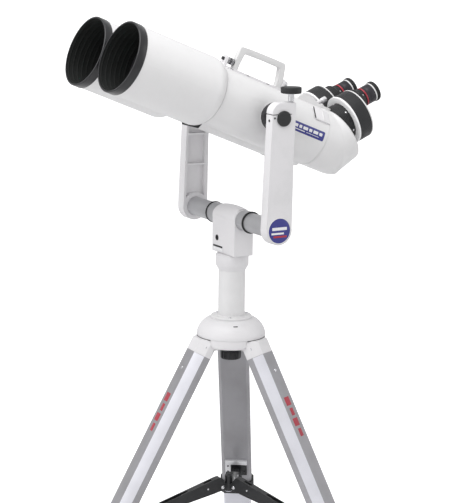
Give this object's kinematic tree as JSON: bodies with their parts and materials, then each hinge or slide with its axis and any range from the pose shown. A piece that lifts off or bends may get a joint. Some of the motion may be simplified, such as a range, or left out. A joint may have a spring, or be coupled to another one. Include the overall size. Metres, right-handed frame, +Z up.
{
  "type": "mounted giant binoculars",
  "caption": "Giant astronomy binoculars with angled eyepieces, sliding dew shields and turrets on a two-arm fork, half pillar and folding tripod.",
  "frame": {"origin": "on the azimuth axis at floor level", "axes": "+Z up along the azimuth axis; -Y towards the sky end of the tubes; X along the altitude axis"},
  "size_m": [0.8241, 0.8495, 1.4623],
  "materials": {
    "white_paint": "satin",
    "handle_paint": "satin",
    "leg_alloy": "satin",
    "inner_alloy": "satin",
    "shaft_alloy": "satin",
    "black_moulding": "matt",
    "black_metal": "satin",
    "steel": "satin",
    "leather_band": "textured",
    "optical_glass": "polished",
    "black_rubber": "matt",
    "black_anodised": "satin"
  },
  "bodies": {
    "stand": {"head_casting": "white_paint", "pillar": "white_paint", "azimuth_collar": "white_paint", "hinge_pins": "steel"},
    "centre_knob": {"centre_knob": "black_moulding"},
    "fork": {"fork_hub": "white_paint", "fork_shaft": "shaft_alloy", "fork_arm_1": "white_paint", "fork_arm_2": "white_paint", "shaft_rings": "black_metal"},
    "azimuth_screw": {"azimuth_screw": "black_metal"},
    "clamp_knob_1": {"clamp_knob_1": "black_moulding"},
    "clamp_knob_2": {"clamp_knob_2": "black_moulding"},
    "binocular": {"saddle": "white_paint", "bridge": "white_paint", "handle": "handle_paint", "handle_bolts": "black_metal", "trunnions": "black_metal", "pivot_caps": "black_metal", "lens_cells": "black_metal", "prisms": "optical_glass", "tube_1": "white_paint", "tube_2": "white_paint", "objective_lenses": "optical_glass", "housing_1": "white_paint", "housing_2": "white_paint"},
    "spreader_hub": {"spreader_hub": "black_metal"},
    "shield_1": {"shield_1": "white_paint"},
    "turret_1": {"drum_1": "leather_band", "rhomb_1": "optical_glass"},
    "focuser_1": {"focuser_1": "black_anodised"},
    "eyepiece_1": {"eyepiece_1": "black_anodised"},
    "eyecup_1": {"eyecup_1": "black_rubber"},
    "shield_2": {"shield_2": "white_paint"},
    "turret_2": {"drum_2": "leather_band", "rhomb_2": "optical_glass"},
    "focuser_2": {"focuser_2": "black_anodised"},
    "eyepiece_2": {"eyepiece_2": "black_anodised"},
    "eyecup_2": {"eyecup_2": "black_rubber"},
    "leg_1": {"leg_socket_1": "white_paint", "leg_tube_1": "leg_alloy", "leg_collar_1": "black_moulding"},
    "leg_extension_1": {"leg_inner_1": "inner_alloy", "leg_foot_1": "black_rubber"},
    "leg_knob_1": {"leg_knob_1": "black_moulding"},
    "spreader_arm_1": {"spreader_arm_1": "black_metal"},
    "leg_2": {"leg_socket_2": "white_paint", "leg_tube_2": "leg_alloy", "leg_collar_2": "black_moulding"},
    "leg_extension_2": {"leg_inner_2": "inner_alloy", "leg_foot_2": "black_rubber"},
    "leg_knob_2": {"leg_knob_2": "black_moulding"},
    "spreader_arm_2": {"spreader_arm_2": "black_metal"},
    "leg_3": {"leg_socket_3": "white_paint", "leg_tube_3": "leg_alloy", "leg_collar_3": "black_moulding"},
    "leg_extension_3": {"leg_inner_3": "inner_alloy", "leg_foot_3": "black_rubber"},
    "leg_knob_3": {"leg_knob_3": "black_moulding"},
    "spreader_arm_3": {"spreader_arm_3": "black_metal"}
  },
  "joints": [
    {"name": "azimuth_turn", "type": "hinge", "parent": "stand", "child": "fork", "pos_m": [0, 0, 0.889], "axis": [0, 0, 1], "continuous": true},
    {"name": "altitude_tilt", "type": "hinge", "parent": "fork", "child": "binocular", "pos_m": [0, 0.0056, 1.24], "axis": [-1, 0, 0], "range_deg": [-38, 38]},
    {"name": "azimuth_screw_turn", "type": "hinge", "parent": "fork", "child": "azimuth_screw", "pos_m": [-0.0302, -0.0265, 0.924], "axis": [0, -1, 0], "range_deg": [-45, 180]},
    {"name": "clamp_knob_1_turn", "type": "hinge", "parent": "fork", "child": "clamp_knob_1", "pos_m": [0.198, 0.0336, 1.305], "axis": [0, 0, 1], "range_deg": [-180, 360]},
    {"name": "clamp_knob_2_turn", "type": "hinge", "parent": "fork", "child": "clamp_knob_2", "pos_m": [-0.198, 0.0336, 1.305], "axis": [0, 0, 1], "range_deg": [-180, 360]},
    {"name": "centre_knob_turn", "type": "hinge", "parent": "stand", "child": "centre_knob", "pos_m": [0, 0, 0.63], "axis": [0, 0, 1], "range_deg": [-360, 720]},
    {"name": "dew_shield_1_slide", "type": "slide", "parent": "binocular", "child": "shield_1", "axis": [0, 0.9298, -0.3681], "range_m": [0, 0.037]},
    {"name": "dew_shield_2_slide", "type": "slide", "parent": "binocular", "child": "shield_2", "axis": [0, 0.9298, -0.3681], "range_m": [0, 0.037]},
    {"name": "turret_1_turn", "type": "hinge", "parent": "binocular", "child": "turret_1", "pos_m": [0.065, 0.31515, 1.22467], "axis": [0, 0.9178, 0.3971], "range_deg": [-58, 4]},
    {"name": "turret_2_turn", "type": "hinge", "parent": "binocular", "child": "turret_2", "pos_m": [-0.065, 0.31515, 1.22467], "axis": [0, 0.9178, 0.3971], "range_deg": [-4, 58]},
    {"name": "focus_ring_1_turn", "type": "hinge", "parent": "turret_1", "child": "focuser_1", "pos_m": [0.04996, 0.32963, 1.25667], "axis": [0, 0.9178, 0.3971], "range_deg": [-120, 150]},
    {"name": "eyepiece_1_focus", "type": "slide", "parent": "turret_1", "child": "eyepiece_1", "axis": [0, 0.9178, 0.3971], "range_m": [-0.0035, 0.004]},
    {"name": "eyecup_1_slide", "type": "slide", "parent": "eyepiece_1", "child": "eyecup_1", "axis": [0, 0.9178, 0.3971], "range_m": [0, 0.006]},
    {"name": "focus_ring_2_turn", "type": "hinge", "parent": "turret_2", "child": "focuser_2", "pos_m": [-0.04996, 0.32963, 1.25667], "axis": [0, 0.9178, 0.3971], "range_deg": [-120, 150]},
    {"name": "eyepiece_2_focus", "type": "slide", "parent": "turret_2", "child": "eyepiece_2", "axis": [0, 0.9178, 0.3971], "range_m": [-0.0035, 0.004]},
    {"name": "eyecup_2_slide", "type": "slide", "parent": "eyepiece_2", "child": "eyecup_2", "axis": [0, 0.9178, 0.3971], "range_m": [0, 0.006]},
    {"name": "leg_1_fold", "type": "hinge", "parent": "stand", "child": "leg_1", "pos_m": [0.07251, 0.03381, 0.664], "axis": [0.4226, -0.9063, 0], "range_deg": [-4, 0]},
    {"name": "leg_1_extend", "type": "slide", "parent": "leg_1", "child": "leg_extension_1", "axis": [0.4325, 0.2017, -0.8788], "range_m": [0, 0.3]},
    {"name": "leg_knob_1_turn", "type": "hinge", "parent": "leg_1", "child": "leg_knob_1", "pos_m": [0.33097, 0.15433, 0.22259], "axis": [0.7965, 0.3714, 0.4772], "range_deg": [-90, 360]},
    {"name": "leg_2_fold", "type": "hinge", "parent": "stand", "child": "leg_2", "pos_m": [-0.06553, 0.04589, 0.664], "axis": [0.5736, 0.8192, 0], "range_deg": [-4.2, 0.2]},
    {"name": "leg_2_extend", "type": "slide", "parent": "leg_2", "child": "leg_extension_2", "axis": [-0.3909, 0.2737, -0.8788], "range_m": [0, 0.3]},
    {"name": "leg_knob_2_turn", "type": "hinge", "parent": "leg_2", "child": "leg_knob_2", "pos_m": [-0.29914, 0.20946, 0.22259], "axis": [-0.7199, 0.5041, 0.4772], "range_deg": [-90, 360]},
    {"name": "leg_3_fold", "type": "hinge", "parent": "stand", "child": "leg_3", "pos_m": [-0.00697, -0.0797, 0.664], "axis": [-0.9962, 0.0872, 0], "range_deg": [-4.2, 0.2]},
    {"name": "leg_3_extend", "type": "slide", "parent": "leg_3", "child": "leg_extension_3", "axis": [-0.0416, -0.4753, -0.8788], "range_m": [0, 0.3]},
    {"name": "leg_knob_3_turn", "type": "hinge", "parent": "leg_3", "child": "leg_knob_3", "pos_m": [-0.03183, -0.36379, 0.22259], "axis": [-0.0766, -0.8755, 0.4772], "range_deg": [-90, 360]},
    {"name": "spreader_slide", "type": "slide", "parent": "stand", "child": "spreader_hub", "axis": [0, 0, 1], "range_m": [-0.001, 0.066]},
    {"name": "spreader_arm_1_fold", "type": "hinge", "parent": "spreader_hub", "child": "spreader_arm_1", "pos_m": [0.01813, 0.00845, 0.296], "axis": [-0.4226, 0.9063, 0], "range_deg": [-0.5, 22]},
    {"name": "spreader_arm_2_fold", "type": "hinge", "parent": "spreader_hub", "child": "spreader_arm_2", "pos_m": [-0.01638, 0.01147, 0.296], "axis": [-0.5736, -0.8192, 0], "range_deg": [-0.5, 22]},
    {"name": "spreader_arm_3_fold", "type": "hinge", "parent": "spreader_hub", "child": "spreader_arm_3", "pos_m": [-0.00174, -0.01992, 0.296], "axis": [0.9962, -0.0872, 0], "range_deg": [-0.5, 22]}
  ],
  "couplings": [
    {"joint": "turret_2_turn", "follows": "turret_1_turn", "ratio": -1},
    {"joint": "eyepiece_1_focus", "follows": "focus_ring_1_turn", "m_per_rad": 0.0015},
    {"joint": "eyepiece_2_focus", "follows": "focus_ring_2_turn", "m_per_rad": 0.0015},
    {"joint": "leg_2_fold", "follows": "leg_1_fold", "ratio": 1},
    {"joint": "leg_3_fold", "follows": "leg_1_fold", "ratio": 1},
    {"joint": "spreader_slide", "follows": "leg_1_fold", "m_per_rad": -0.9106},
    {"joint": "spreader_arm_1_fold", "follows": "leg_1_fold", "ratio": -4.7354},
    {"joint": "spreader_arm_2_fold", "follows": "leg_1_fold", "ratio": -4.7354},
    {"joint": "spreader_arm_3_fold", "follows": "leg_1_fold", "ratio": -4.7354}
  ]
}
